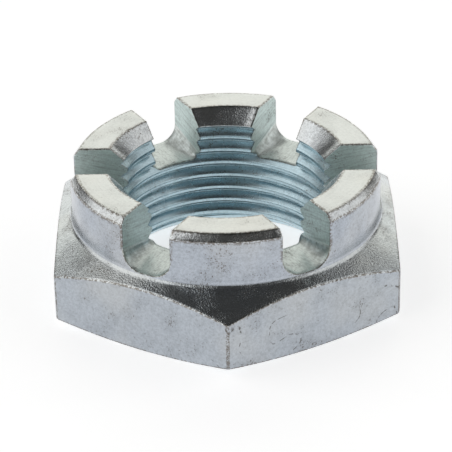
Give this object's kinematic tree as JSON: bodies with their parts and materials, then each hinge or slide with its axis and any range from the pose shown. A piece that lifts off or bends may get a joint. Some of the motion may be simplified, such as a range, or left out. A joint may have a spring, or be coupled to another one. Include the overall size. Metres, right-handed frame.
{
  "type": "castle nut",
  "caption": "Slotted hexagon nut with a turned crown and a fine internal thread; a cotter pin through the slots locks it to a drilled bolt.",
  "frame": {"origin": "centre of the flat bearing face, on the thread axis", "axes": "+Z along the thread axis, from the bearing face towards the slotted crown; -Y towards one hexagon corner"},
  "size_m": [0.046, 0.0528, 0.018],
  "materials": {
    "zinc_plated_steel": "satin bluish-silver zinc plating with bright worn edges"
  },
  "bodies": {
    "root": {"castle_nut": "zinc_plated_steel"}
  },
  "joints": []
}
